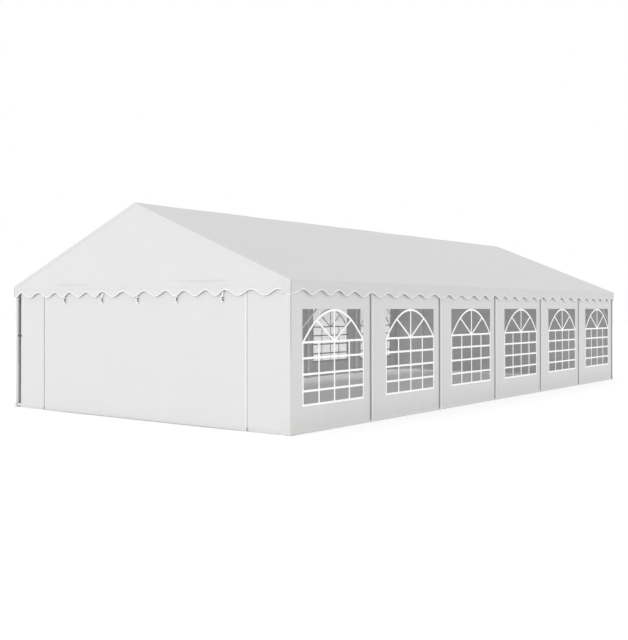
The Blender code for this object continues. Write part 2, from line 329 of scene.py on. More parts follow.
def wireSteel(tree, place, look):
    wear = placed(tree, "wear", place["Object"], amount=look["wear"])
    dust = placed(tree, "dust", place["Object"], top=steelDust["top"], amount=steelDust["amount"])["Mask"]
    worn = blendColour(tree, wear["Mask"], look["tone"], look["worn"])
    return {
        "Base Color": blendColour(tree, dust, worn, steelDust["colour"]),
        "Roughness": scaled(tree, wear["Height"], 0.12, look["rough"] - 0.1),
        "Normal": bumped(tree, wear["Height"], 0.25, 0.0004),
        "Metallic": look["metal"],
    }


# ribs are counted to the metre; the inner tone is painted shade: the dark tone of a tape's inner face, seen
# from inside the tent against the bright window
trims = {
    "windowTape": {"tone": 0.97, "deep": 0.92, "rough": 0.35, "ribs": 260.0, "bump": 0.0003, "inner": 0.24},
    # the zips' dark grey is partly their own colour, partly painted shade standing in for the shadow in the
    # gaps where they run
    "zipTape": {"tone": (0.32, 0.32, 0.33), "deep": (0.25, 0.25, 0.26), "rough": 0.75, "ribs": 900.0,
                "bump": 0.0004},
    "zipTeeth": {"tone": (0.25, 0.25, 0.26), "deep": (0.18, 0.18, 0.19), "rough": 0.4, "ribs": 700.0,
                 "bump": 0.001},
    # the seam's dark grey is painted shade along the rounded corners
    "seam": {"tone": 0.47, "deep": 0.42, "rough": 0.6, "ribs": 600.0, "bump": 0.0003},
    "softTape": {"tone": 0.60, "deep": 0.50, "rough": 0.7, "ribs": 900.0, "bump": 0.0004},
    "toggle": {"tone": 0.9, "deep": (0.84, 0.84, 0.83), "rough": 0.3, "ribs": 90.0, "bump": 0.0001},
    "darkStrap": {"tone": (0.06, 0.06, 0.065), "deep": 0.03, "rough": 0.7, "ribs": 800.0, "bump": 0.0005},
}


def wireTrim(tree, place, look):
    cloud = noiseOf(tree, place["Object"], 6.0, 4.0)
    colour = blendColour(tree, cloud, look["deep"], look["tone"])
    # painted shade: faces turned towards the inside of the tent take the dark inner tone
    if "inner" in look:
        sides = [axisOf(tree, place[kind], "X") for kind in ("Normal", "Object")]
        shadedInward = maths(tree, "LESS_THAN", scaled(tree, *sides), 0.0)
        colour = blendColour(tree, shadedInward, colour, look["inner"])
    ribs = {"Vector": place["UV"], "Scale": look["ribs"] * bandScale, "Distortion": 0.3}
    return {
        "Base Color": colour,
        "Roughness": scaled(tree, cloud, 0.15, look["rough"] - 0.07),
        "Normal": bumped(tree, addNode(tree, "TexWave", ribs)["Fac"], 0.6, look["bump"]),
    }


film = {"colour": (0.40, 0.41, 0.41), "body": 0.17, "rough": 0.08, "ripple": 0.0012}


def wireFilm(tree, place, look):
    smears = noiseOf(tree, place["Object"], 2.6, 6.0)
    return {
        "Base Color": asColour(look["colour"]),
        "Roughness": scaled(tree, smears, 0.12, look["rough"] - 0.04),
        "Alpha": scaled(tree, smears, 0.03, look["body"] - 0.015),
        "Normal": bumped(tree, noiseOf(tree, place["Object"], 5.0, 2.0), 0.5, look["ripple"]),
    }


materials = {}
for wire, looks in ((wireFabric, fabrics), (wireSteel, steels), (wireTrim, trims)):
    materials.update({name: newMaterial(name, wire, look) for name, look in looks.items()})
materials["clearFilm"] = newMaterial("clearFilm", wireFilm, film)
print("materials ready")


# making and finishing pieces
def selectOnly(*pieces):
    bpy.ops.object.select_all(action="DESELECT")
    for piece in reversed(pieces):
        piece.select_set(True)
        bpy.context.view_layer.objects.active = piece


def primitive(add, **settings):
    selectOnly()
    add(**settings)
    bpy.ops.object.transform_apply(location=True, rotation=True, scale=True)
    return bpy.context.object


def inEditMode(action):
    bpy.ops.object.mode_set(mode="EDIT")
    action()
    bpy.ops.object.mode_set(mode="OBJECT")


def applied(piece, kind, **settings):
    modifier = piece.modifiers.new(kind.lower(), kind)
    for key, value in settings.items():
        setattr(modifier, key, value)
    bpy.context.view_layer.objects.active = piece
    bpy.ops.object.modifier_apply(modifier=modifier.name)


def soften(piece, width, degrees=50):
    if width:
        limit = {"limit_method": "ANGLE", "angle_limit": math.radians(degrees)}
        applied(piece, "BEVEL", width=width, segments=2, **limit)


def spaced(first, last, step):
    count = max(1, math.ceil(abs(last - first) / step - 1e-6))
    return [first + (last - first) * i / count for i in range(count + 1)]


def ladder(*stops):
    # values from stop to stop: first, step, next, step, next ...
    values = [stops[0]]
    for i in range(1, len(stops), 2):
        values += spaced(stops[i - 1], stops[i + 1], stops[i])[1:]
    return values


def eased(value, low, high):
    share = min(1, max(0, (value - low) / (high - low)))
    return share * share * (3 - 2 * share)


def rippled(a, b, seed):
    return noise.noise(Vector((a, b, seed)))


def tangentsOf(path):
    last = len(path) - 1
    return [(path[min(i + 1, last)] - path[max(i - 1, 0)]).normalized() for i in range(last + 1)]


def upright(x, y, low, high, step=0.07):
    return [Vector((x, y, z)) for z in spaced(low, high, step)]


def unwrap():
    bpy.ops.mesh.select_all(action="SELECT")
    bpy.ops.uv.cube_project(cube_size=1.0)


def sheetFrom(name, across, up, place, material, thickness=0.002, hole=None, pattern=None):
    # a grid whose lines run at the stations across and up, each point put where place says
    columns, rows = len(across) - 1, len(up) - 1
    piece = primitive(bpy.ops.mesh.primitive_grid_add, x_subdivisions=columns, y_subdivisions=rows, size=1)
    piece.name = name
    cells = []
    for vertex in piece.data.vertices:
        column, row = round((vertex.co.x + 0.5) * columns), round((vertex.co.y + 0.5) * rows)
        cells.append((column, row))
        vertex.co = place(across[column], up[row])
    if hole:
        bpy.context.tool_settings.mesh_select_mode = (False, False, True)
        for face in piece.data.polygons:
            face.select = hole(face.center)
        inEditMode(lambda: bpy.ops.mesh.delete(type="FACE"))
    if pattern:
        layer = piece.data.uv_layers[0].data
        for loop in piece.data.loops:
            layer[loop.index].uv = pattern(*cells[loop.vertex_index])
    else:
        inEditMode(unwrap)
    piece.data.materials.append(materials[material])
    applied(piece, "SOLIDIFY", thickness=thickness, offset=0.0)
    bpy.ops.object.shade_smooth_by_angle(angle=math.radians(50))
    return piece


def strip(name, path, side, width, thickness, material, rounded=0.0):
    # a flat tape along a path; side is the direction of its width, one for all or one for each point
    sides = side if isinstance(side, list) else [Vector(side)] * len(path)
    travelled = [0.0]
    for i in range(1, len(path)):
        travelled.append(travelled[-1] + (path[i] - path[i - 1]).length)
    rows = [-0.5, 0.0, 0.5]

    def place(index, share):
        return path[index] + sides[index] * (share * width)

    def pattern(column, row):
        return travelled[column], rows[row] * width

    piece = sheetFrom(name, range(len(path)), rows, place, material, thickness, pattern=pattern)
    soften(piece, rounded)
    return piece


def tubeAlong(start, end, radius, endRadius=None, vertices=28, rounded=0.0012):
    start, end = Vector(start), Vector(end)
    run = end - start
    shape = {"vertices": vertices, "depth": run.length, "location": (start + end) / 2,
             "rotation": run.to_track_quat("Z", "Y").to_euler()}
    if endRadius is None:
        piece = primitive(bpy.ops.mesh.primitive_cylinder_add, radius=radius, **shape)
    else:
        piece = primitive(bpy.ops.mesh.primitive_cone_add, radius1=radius, radius2=endRadius, **shape)
    soften(piece, rounded, 60)
    return piece


def tubeUp(x, y, low, high, *radii, **looks):
    return tubeAlong((x, y, low), (x, y, high), *radii, **looks)


def tubeBack(x, z, y, half, radius, **looks):
    # from half a length in front of y to half a length behind it
    return tubeAlong((x, y - half, z), (x, y + half, z), radius, **looks)


def torus(place, turn, radius, thick, around=28, through=10):
    return primitive(bpy.ops.mesh.primitive_torus_add, location=place, rotation=radiansOf(turn),
                     major_radius=radius, minor_radius=thick, major_segments=around, minor_segments=through)


def withMaterial(piece, name):
    piece.data.materials.clear()
    piece.data.materials.append(materials[name])
    return piece


def joined(name, pieces):
    selectOnly(*pieces)
    if len(pieces) > 1:
        bpy.ops.object.join()
    pieces[0].name = name
    return pieces[0]


halfTurn = Matrix.Rotation(math.pi, 4, "Z")


def backCopy(piece):
    # the same piece at the back; turned half way round, its left comes to the right
    other = piece.copy()
    other.data = piece.data.copy()
    name = piece.name.replace("Front", "Back")
    swapped = {"Left": "Right", "Right": "Left"}
    other.name = next((name.replace(a, b) for a, b in swapped.items() if a in name), name)
    other.data.transform(halfTurn)
    scene.collection.objects.link(other)
    return other


def bothEnds(pieces, finish):
    turned = [backCopy(piece) for piece in pieces]
    finish(pieces, "front")
    finish(turned, "back")


def nodeName(name):
    # a piece that stands for one CAD node is called as that node is
    return "".join(f"_{c.lower()}" if c.isupper() or c.isdigit() else c for c in name)


def settle(piece, slotName=None, *nodes):
    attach(piece, "root")
    if nodes:
        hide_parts(*nodes)


def settleSheet(sheet, extras, slotName, nodes, **cloth):
    for piece in extras:
        settle(piece, slotName)
    settle(sheet, slotName, *nodes)
    if extras:
        cloth["with_pieces"] = extras


# cover: both slopes and the long valances are one sheet, the gables two more
cover = {
    "ridgeRound": 0.0065,
    "endRound": 0.010,
    "railSag": 0.005,
    "panelSag": 0.012,
    "sagUneven": 0.35,
    "slopeEnd": 2.985,
    "valanceTop": 2.012,
    "valanceMiddle": 1.873,
    "valanceWave": 0.041,
    "sideDrop": 0.022,
    "sideWave": 0.033,
    "flatEdge": 1.852,
    "flare": 0.026,
    "cornerCalm": 0.35,
    "cornerFold": 0.0045,
    "columnStep": 0.036,
    "rakeHem": 0.05,
    "binding": 0.015,
    "bindingThick": 0.0052,
    "bindingOver": 0.0015,
    "slopeCut": 3.24,
    "valanceCut": 0.20,
}
sideCrests = [-5.78, -5.39, -4.99, -4.61, -4.16, -3.73, -3.31, -2.84, -2.38, -1.91, -1.47, -1.03, -0.61,
              -0.21, 0.18, 0.58, 1.0, 1.45, 1.89, 2.35, 2.83, 3.30, 3.77, 4.21, 4.62, 5.03, 5.45, 5.85]
gableCrests = [-2.79, -2.31, -1.855, -1.50, -1.075, -0.70, -0.225, 0.245, 0.715, 1.07, 1.51, 1.87, 2.345,
               2.82]


def scallop(position, crests, corner):
    # 1 at each crest, -1 midway between two and at the corners
    if position <= crests[0]:
        phase = 0.5 * (crests[0] - position) / (crests[0] + corner)
    elif position >= crests[-1]:
        phase = 0.5 * (position - crests[-1]) / (corner - crests[-1])
    else:
        i = max(n for n, crest in enumerate(crests) if crest <= position)
        phase = (position - crests[i]) / (crests[i + 1] - crests[i])
    return math.cos(2 * math.pi * phase)


def gableEdge(x):
    return cover["valanceMiddle"] + cover["valanceWave"] * scallop(x, gableCrests, halfWidth)


def sideEdge(y):
    # the long sides' edge hangs lower behind the first few waves, and is flat beside the corners
    behind = eased(y, -5.1, -4.1)
    wave = cover["valanceWave"] + (cover["sideWave"] - cover["valanceWave"]) * (0.6 + 0.4 * behind)
    edge = cover["valanceMiddle"] - cover["sideDrop"] * behind + wave * scallop(y, sideCrests, halfLength)
    if abs(y) > abs(sideCrests[0]):
        edge = max(edge, cover["flatEdge"])
    return edge


def slopeHeight(x, y):
    ridge = tent["ridgeHeight"] - slopeTan * math.hypot(x, cover["ridgeRound"])
    between = math.sin(math.pi * (y + halfLength) / tent["bay"]) ** 2
    across = math.sin(math.pi * x / tent["purlin"]) ** 2
    fade = eased(coverHalfLength - abs(y), 0.0, 0.25)
    uneven = 1 + cover["sagUneven"] * rippled(x * 0.9, y * 0.45, 3.1)
    return ridge - between * fade * (cover["railSag"] + cover["panelSag"] * across) * uneven


def flareOut(t, position, crests, corner, seed):
    # how far the valance stands off the wall, t from 0 at its top to 1 at its edge
    wave = 1 + 0.3 * rippled(position * 1.1, 0.0, seed) + 0.12 * scallop(position, crests, corner)
    calm = eased(corner - abs(position), 0.0, cover["cornerCalm"])
    return cover["flare"] * math.sin(math.pi / 2 * min(1, t / 0.8)) * wave * calm


def coverProfile():
    half = [("slope", x) for x in [0.0, 0.004, 0.009, *spaced(0.018, cover["slopeEnd"], 0.0989)]]
    half += [("eave", t) for t in spaced(0, 1, 0.25)[1:]] + [("drop", t) for t in spaced(0, 1, 0.125)[1:]]
    return [(-1, *station) for station in reversed(half[1:])] + [(1, *station) for station in half]


def endDrop(y):
    depth = coverHalfLength - abs(y)
    radius = cover["endRound"]
    return radius - math.sqrt(max(0.0, radius ** 2 - (radius - depth) ** 2)) if depth < radius else 0.0


def onCover(y, station):
    side, kind, value = station
    wide, top = coverHalfWidth, cover["valanceTop"]

    def onSlope(x):
        return x, slopeHeight(x, y) - endDrop(y)

    if kind == "slope":
        x, z = onSlope(value)
    elif kind == "eave":
        corners = (onSlope(cover["slopeEnd"]), onSlope(wide), (wide, top))
        parts = ((1 - value) ** 2, 2 * value * (1 - value), value ** 2)
        x, z = (sum(p * q[n] for p, q in zip(parts, corners)) for n in (0, 1))
    else:
        # the measured crests are those of the right side; the left is its half turn
        along = y if side > 0 else -y
        out = flareOut(value, along, sideCrests, halfLength, 7.0 + side)
        out -= cover["cornerFold"] * math.exp(-(((coverHalfLength - abs(y) - 0.014) / 0.007) ** 2))
        x, z = wide + out, top + (sideEdge(along) - top) * value
    return Vector((side * x, y, z))


def coverColumns():
    end = coverHalfLength
    corner = [0.0, 0.0015, 0.005, 0.009, 0.014, 0.019, 0.026]
    middle = spaced(-end + 0.04, end - 0.04, cover["columnStep"])
    return [-end + step for step in corner] + middle + [end - step for step in reversed(corner)]


def bindingAlong(name, edge, outward):
    # tape folded over a scalloped edge: the path is the edge, lifted by half the tape
    sides = []
    for tangent in tangentsOf(edge):
        up = tangent.cross(outward)
        sides.append(up if up.z > 0 else -up)
    lift = cover["binding"] / 2 - cover["bindingOver"]
    path = [point + up * lift for point, up in zip(edge, sides)]
    return strip(name, path, sides, cover["binding"], cover["bindingThick"], "bindingTape", rounded=0.0012)


def buildRoof():
    columns = coverColumns()
    roof = sheetFrom("roofCover", columns, coverProfile(), onCover, "roofFabric")
    bindings = []
    for side, word in ((1, "Right"), (-1, "Left")):
        edge = [onCover(y, (side, "drop", 1.0)) for y in columns]
        bindings.append(bindingAlong(f"valanceBinding{word}", edge, Vector((side, 0, 0))))
    nodes = [f"{name}_{word}" for name in ("roof_slope", "valance") for word in ("left", "right")]
    settleSheet(roof, bindings, "roof_fabric", nodes, held="stretched",
                flat=(2 * (cover["slopeCut"] + cover["valanceCut"]), 2 * coverHalfLength),
                rests_on=[f"rafter_pair_{k + 1}" for k in range(tent["bays"] + 1)])
    print("roof cover done")


gable = {
    "plane": 6.0077,
    "halfWidth": 3.0047,
    "split": 1.985,
    "bulge": 0.008,
    "creases": [(-1.95, -0.92, 2.035), (-0.3, 0.03, 2.051), (0.78, 2.05, 2.042)],
    "creaseDepth": 0.014,
    "creaseWidth": 0.009,
    "returnWidth": 0.148,
    "returnLift": 0.0036,
    "piping": 0.0068,
    "flat": (6.01, 1.415),
    "area": 0.5 * 6.0 * 1.21 + 6.0 * 0.16,
}


def gableCrease(x, z):
    push = 0.0
    for left, right, height in gable["creases"]:
        along = eased(x, left, left + 0.3) * (1 - eased(x, right - 0.3, right))
        push += along * math.exp(-(((z - height) / gable["creaseWidth"]) ** 2))
    return push


def gableFlare(x, t):
    return flareOut(t, x, gableCrests, halfWidth, 2.0)


def onGable(x, v):
    # v runs from 0 at the slope to 1 at the split and on to 2 at the scalloped edge
    split = gable["split"]
    if v <= 1:
        top = slopeHeight(x, -coverHalfLength) - 0.0042
        z = top + (split - top) * v
        slack = math.sin(math.pi * min(1, (top - z) / 1.25)) * eased(top - z, 0.02, 0.3)
        out = gable["bulge"] * slack * (1 + 0.8 * rippled(x * 1.3, z * 1.3, 5.0))
        return Vector((x, -gable["plane"] - out - gable["creaseDepth"] * gableCrease(x, z), z))
    return Vector((x, -gable["plane"] - gableFlare(x, v - 1), split + (gableEdge(x) - split) * (v - 1)))


def rakeHem(name):
    # the roof sheet's edge, turned down over the gable and sewn, mitred under the ridge
    drop = cover["rakeHem"] / math.cos(slopeAngle)
    reach = coverHalfWidth - 0.002
    path = []
    for x in ladder(-reach, 0.12, -0.02, 0.005, 0.02, 0.12, reach):
        top = slopeHeight(x, -coverHalfLength) - cover["endRound"] * 0.6
        path.append(Vector((x, -coverHalfLength - 0.0022, top - drop / 2)))
    return strip(name, path, (0, 0, 1), drop, 0.002, "hemFabric", rounded=0.0005)


def buildGable():
    reach = gable["halfWidth"]
    columns = ladder(-reach, cover["columnStep"], -0.02, 0.005, 0.02, cover["columnStep"], reach)
    rows = ladder(0.0, 0.012, 0.06, 0.045, 0.76, 0.006, 1.0, 0.125, 2.0)
    sheet = sheetFrom("gableCoverFront", columns, rows, onGable, "gableFabric")
    edge = [onGable(x, 2.0) for x in columns]
    extras = [bindingAlong("gableBindingFront", edge, Vector((0, -1, 0))), rakeHem("rakeHemFront")]

    def onReturn(x, t):
        # the long side's valance turned round the corner, with a flat edge
        top = cover["valanceTop"] - 0.012
        out = gable["returnLift"] + gableFlare(x, t)
        return Vector((x, -gable["plane"] - out, top + (cover["flatEdge"] - top) * t))

    corner = spaced(reach - gable["returnWidth"], reach, 0.02)
    extras.append(sheetFrom("valanceReturnFront", corner, spaced(0, 1, 0.125), onReturn, "roofFabric"))

    # piping down each valance corner, dark grey: painted shade along the corner
    for side, word in ((1, "Right"), (-1, "Left")):
        x, y = side * (coverHalfWidth - 0.002), -coverHalfLength + 0.002
        low, high = cover["flatEdge"] + 0.002, cover["valanceTop"] + 0.012
        piping = withMaterial(tubeUp(x, y, low, high, gable["piping"], vertices=14), "seam")
        piping.name = f"cornerPipingFront{word}"
        extras.append(piping)

    def finish(pieces, end):
        settleSheet(pieces[0], pieces[1:], "roof_fabric", [f"roof_gable_{end}"], held="stretched",
                    flat=gable["flat"], area=gable["area"], rests_on=[f"gable_frame_{end}"])

    bothEnds([sheet, *extras], finish)
    print("gable covers done")


# side walls and their windows
hem = {"wide": 0.045, "thick": 0.0034, "lift": 0.001, "round": 0.0006}
wall = {
    "out": 0.0040,
    "bottom": 0.004,
    "top": 2.02,
    "before": 0.15,
    "lap": 0.165,
    "cornerSlit": 0.156,
    "flapOut": 0.026,
    "flapMore": 0.006,
    "flapThick": 0.007,
    "wrap": 0.152,
    "cornerRound": 0.014,
    "wrapPlane": 6.0055,
    "lowCorner": 0.003,
    "slitPlane": 2.992,
    "slitTape": (5.838, 5.945),
    "slitZip": (5.848, 5.957),
    "seam": 0.018,
    "seamLift": 0.0022,
    "zipTape": 0.036,
    "zipTeeth": 0.009,
    "zipBefore": 0.021,
}
window = {
    "half": 0.707,
    "shift": -0.060,
    "low": 0.366,
    "high": 1.651,
    "bar": 0.030,
    "barThick": 0.0042,
    "barOut": 0.0060,
    "across": (0.376, 0.563, 0.785, 0.999, 1.209),
    "upright": (-0.353, 0.0, 0.353),
    "transom": 1.209,
    "archTop": 1.636,
    "archPower": 2.05,
    "jamb": 0.018,
    "spoke": (0.40, 0.290),
    "filmMargin": 0.03,
    "filmThick": 0.0008,
}


def footHem(name, columns, onSheet, bottom):
    # the doubled lower edge of a hanging sheet
    low = bottom + hem["wide"] / 2 + hem["lift"]
    path = [onSheet(across, low) for across in columns]
    return strip(name, path, (0, 0, 1), hem["wide"], hem["thick"], "hemFabric", rounded=hem["round"])


def wallWave(y, z, bay):
    # slack of the hanging wall: none at its top, soft upright folds towards its foot
    fall = eased(wall["top"] - z, 0.05, 1.7)
    folds = 0.5 + 0.5 * rippled(y / 0.42, z * 0.35, bay * 3.7)
    broad = 0.5 + 0.5 * rippled(y / 0.9, z / 0.8, bay * 5.1 + 1)
    return (0.0010 + 0.0065 * folds) * fall + 0.004 * broad * eased(wall["top"] - z, 0.0, 0.4)


def wallStart(bay):
    return -halfLength + (bay - 1) * tent["bay"] - wall["before"]


def wallEnd(bay):
    if bay == tent["bays"]:
        return halfLength - wall["cornerSlit"]
    return wallStart(bay) + tent["bay"] + wall["lap"]


def offWall(out, y, z, bay):
    return Vector((halfWidth + out + wallWave(y, z, bay), y, z))


def onWall(y, z, bay, lift=0.0):
    # a point of the right side's wall; the first wall turns the front corner and goes on along -X
    end = -halfLength
    if bay == 1 and y < end + 0.2:
        z -= wall["lowCorner"] * (1 - eased(z, 0.05, 0.5)) * (1 - eased(y, end + 0.02, end + 0.2))
    out = wall["out"] + lift
    if bay > 1:
        along = y - wallStart(bay)
        lapped = 0.0026 * (1 - eased(along, 0.14, 0.2))
        swell = 0.12 + 0.88 * eased(1.84 - z, 0.0, 0.10)
        out += lapped + wall["flapOut"] * math.exp(-((along / 0.026) ** 2)) * swell
    radius = wall["cornerRound"]
    corner = radius - wall["wrapPlane"]
    if bay > 1 or y > corner:
        return offWall(out, y, z, bay)
    turned = min(math.pi / 2, (corner - y) / radius)
    reach = radius + lift + wallWave(y, z, bay) * 0.5
    beyond = max(0.0, corner - y - radius * math.pi / 2)
    centre = Vector((halfWidth + wall["out"] - radius, corner, z))
    return centre + Vector((math.cos(turned) * reach - beyond, -math.sin(turned) * reach, 0))


def windowBars(name, bay, centre):
    half, bar, thick = window["half"] - window["jamb"] / 2, window["bar"], window["barThick"]
    low, top, high = window["low"], window["transom"], window["archTop"]
    bars = []

    def tape(points, side=None, width=bar, thickness=thick):
        path = [offWall(window["barOut"], centre + y, z, bay) for y, z in points]
        if side is None:
            side = [Vector((1, 0, 0)).cross(tangent).normalized() for tangent in tangentsOf(path)]
        bars.append(strip("bar", path, side, width, thickness, "windowTape", rounded=0.0012))

    for z in window["across"]:
        tape([(y, z) for y in spaced(-half - 0.012, half + 0.012, 0.05)], (0, 0, 1))
    for y in (-half, half):
        points = [(y, z) for z in spaced(low - 0.005, top + 0.012, 0.05)]
        tape(points, (0, 1, 0), window["jamb"], thick + 0.0006)
    for y in window["upright"]:
        points = [(y, z) for z in spaced(low, high if y == 0 else top, 0.05)]
        tape(points, (0, 1, 0), bar * 0.93, thick - 0.0008)
    arch = [(share * (half - 0.003), top + (1 - abs(share) ** window["archPower"]) * (high - top))
            for share in spaced(-1.0, 1.0, 1 / 24)]
    tape(arch, thickness=thick - 0.0004)
    out, up = window["spoke"]
    for sign in (-1, 1):
        points = [(sign * out * t, top + up * t) for t in spaced(0.0, 1.0, 0.1)]
        tape(points, Vector((0, -up, sign * out)).normalized(), bar * 0.9, thick - 0.0012)
    return joined(name, bars)


def cornerSeam(label):
    # sewn seam down the rounded corner, facing outwards between both sides; its dark grey is painted shade, the
    # shade of the corner's rounding
    out = Vector((math.sqrt(0.5), -math.sqrt(0.5), 0))
    radius = wall["cornerRound"]
    foot = Vector((halfWidth + wall["out"] - radius, radius - wall["wrapPlane"], 0))
    foot += out * (radius + wall["seamLift"])
    path = [foot + point for point in upright(0, 0, 0.006, wall["top"] - 0.08, 0.1)]
    return strip(f"cornerSeam{label}", path, Vector((out.y, -out.x, 0)), wall["seam"], 0.0016, "seam",
                 rounded=0.0005)


def flapAndZip(label, bay):
    # the wall's thick front edge, and the zip beside it on the wall before; the zip's dark grey is partly
    # painted shade, the shade in the gap beside the flap
    start, more = wallStart(bay), wall["flapMore"]
    edge = [onWall(start, z, bay) for z in spaced(wall["bottom"], wall["top"] - 0.03, 0.07)]
    stands = [point.x - halfWidth - wall["out"] for point in edge]
    path = [point + Vector((-stand / 2, -0.001, 0)) for point, stand in zip(edge, stands)]
    width = wall["flapOut"] + more
    sides = [Vector(((stand + more) / width, 0, 0)) for stand in stands]
    # painted highlight: the flap's edge takes the lighter flap cloth
    flap = strip(f"flapEdge{label}", path, sides, width, wall["flapThick"], "flapFabric", rounded=0.0025)
    rise = spaced(0.03, wall["top"] - 0.03, 0.07)
    run = [onWall(start - wall["zipBefore"], z, bay - 1, 0.0018) for z in rise]
    raised = [point + Vector((0.0022, 0.008, 0)) for point in run]
    tape = strip("tape", run, (0, 1, 0), wall["zipTape"], 0.0018, "zipTape")
    teeth = strip("teeth", raised, (0, 1, 0), wall["zipTeeth"], 0.0042, "zipTeeth", rounded=0.001)
    return [flap, joined(f"wallZip{label}", [tape, teeth])]


def slitClosing(label):
    # tape and zip that close the slit between the last wall and the bare corner post; the zip's dark grey is
    # painted shade, the shade in the slit
    closing = []
    for word, lift, material in (("slitTape", 0.0, "softTape"), ("slitZip", 0.011, "zipTeeth")):
        first, last = wall[word]
        path = upright(wall["slitPlane"] + lift, (first + last) / 2, 0.02, 1.98)
        closing.append(strip(word, path, (0, 1, 0), last - first, 0.0014, material))
    return joined(f"slit{label}", closing)


def wallPieces(label, bay, centre):
    start, end = wallStart(bay), wallEnd(bay)
    left, right = centre - window["half"], centre + window["half"]
    low, high = window["low"], window["high"]
    if bay == 1:
        corner = wall["cornerRound"] - wall["wrapPlane"]
        arc = corner - wall["cornerRound"] * math.pi / 2
        columns = ladder(arc - wall["wrap"], 0.03, arc, 0.004, corner, 0.04, left, 0.06, right, 0.04, end)
    else:
        columns = ladder(start, 0.006, start + 0.06, 0.03, left, 0.06, right, 0.04, end)
    rows = ladder(wall["bottom"], 0.05, low, 0.07, high, 0.045, wall["top"])

    def onSheet(y, z):
        return onWall(y, z, bay)

    def inWindow(point):
        return abs(point.y - centre) < window["half"] and low < point.z < high

    pieces = [sheetFrom(f"sideWall{label}", columns, rows, onSheet, "wallFabric", hole=inWindow),
              footHem(f"footHem{label}", columns, onSheet, wall["bottom"]),
              windowBars(f"windowBars{label}", bay, centre)]
    pieces += [cornerSeam(label)] if bay == 1 else flapAndZip(label, bay)
    if bay == tent["bays"]:
        pieces.append(slitClosing(label))
    return pieces


def filmPiece(label, bay, centre):
    margin = window["filmMargin"]
    across = spaced(centre - window["half"] - margin, centre + window["half"] + margin, 0.07)
    up = spaced(window["low"] - margin, window["high"] + margin, 0.07)

    def onFilm(y, z):
        tight = [max(0.0, math.cos(math.pi * away)) for away in ((y - centre) / 1.5, (z - 1.01) / 1.42)]
        return offWall(0.0012 + 0.0032 * (tight[0] * tight[1]) ** 0.5, y, z, bay)

    return sheetFrom(f"windowFilm{label}", across, up, onFilm, "clearFilm", window["filmThick"])


def buildWalls():
    # the left side is the right one turned half way round, but its windows are shifted to the front too
    wide, tall = 2 * window["half"], window["high"] - window["low"]
    margin = 2 * window["filmMargin"]
    for word, shift in (("right", window["shift"]), ("left", -window["shift"])):
        for bay in range(1, tent["bays"] + 1):
            number = bay if word == "right" else tent["bays"] + 1 - bay
            label = f"{word.capitalize()}{number}"
            centre = -halfLength + (bay - 0.5) * tent["bay"] + shift
            pieces = [*wallPieces(label, bay, centre), filmPiece(label, bay, centre)]
            if word == "left":
                for piece in pieces:
                    piece.data.transform(halfTurn)
            sheet, *extras, clear = pieces
            width, height = wallEnd(bay) - wallStart(bay), wall["top"] - wall["bottom"]
            settleSheet(sheet, extras, "wall_fabric", [nodeName(sheet.name)], held="hung", flat=(width, height),
                        area=width * height - wide * tall, rests_on=[f"eave_rail_{word}"])
            settleSheet(clear, [], "clear_film", [f"window_film_{word}"], held="stretched",
                        flat=(wide + margin, tall + margin), rests_on=[sheet.name])
    print("side walls and windows done")


# gable walls: a door between two zips, and a strip on each side of it
door = {
    "plane": 6.0014,
    "bottom": 0.008,
    "top": 1.99,
    "leftZip": -2.194,
    "rightZip": 2.250,
    "zipGap": 0.004,
    "leftEdge": -2.818,
    "rightEdge": 2.97,
    "wave": 0.009,
    "cornerTape": 0.136,
    "cornerTapeIn": 0.009,
}


def onFront(x, z, lift=0.0):
    fall = eased(door["top"] - z, 0.05, 1.8)
    folds = 0.5 + 0.5 * rippled(x / 0.55, z * 0.3, 11.0)
    broad = 0.5 + 0.5 * rippled(x / 1.4, z / 1.1, 17.0)
    zips = min(abs(x - door["leftZip"]), abs(x - door["rightZip"]))
    near = 1 - 0.8 * math.exp(-((zips / 0.12) ** 2))
    calm = 1 - eased(x, 2.6, 2.8)
    slack = (door["wave"] * folds * fall + 0.006 * broad * eased(door["top"] - z, 0.0, 0.4)) * near * calm
    return Vector((x, -door["plane"] - slack - lift, z))


def zipPieces():
    # name, place, lift, width, thickness, material and rounding of each tape
    left, right = door["leftZip"], door["rightZip"]
    # the left zip's teeth take the dark zip tape: partly painted shade of the gap at the zip
    tapes = [
        ("zipFrontLeft", left, 0.0016, 0.022, 0.0014, "softTape", 0.0),
        ("teethFrontLeft", left, 0.0034, 0.009, 0.004, "zipTape", 0.001),
        ("zipFrontRight", right, 0.0016, 0.014, 0.0014, "softTape", 0.0),
        ("teethFrontRight", right, 0.0032, 0.006, 0.003, "softTape", 0.0008),
        # painted highlight: the right zip's flap edge takes the lighter flap cloth
        ("flapFrontRight", right - 0.027, 0.0040, 0.016, 0.004, "flapFabric", 0.0015),
    ]
    run = spaced(door["bottom"] + 0.01, door["top"] - 0.03, 0.07)
    return [strip(name, [onFront(x, z, lift) for z in run], (1, 0, 0), width, thick, material, rounded)
            for name, x, lift, width, thick, material, rounded in tapes]


def cornerTape():
    # tape that closes the gap beside the bare post at the back right; the front's gap stays open
    x = (steel["postX"] - steel["postRadius"] - door["leftEdge"]) / 2
    path = upright(x, door["plane"] - door["cornerTapeIn"], 0.02, door["top"] - 0.02)
    return strip("cornerTapeBack", path, (1, 0, 0), door["cornerTape"], 0.0014, "softTape")


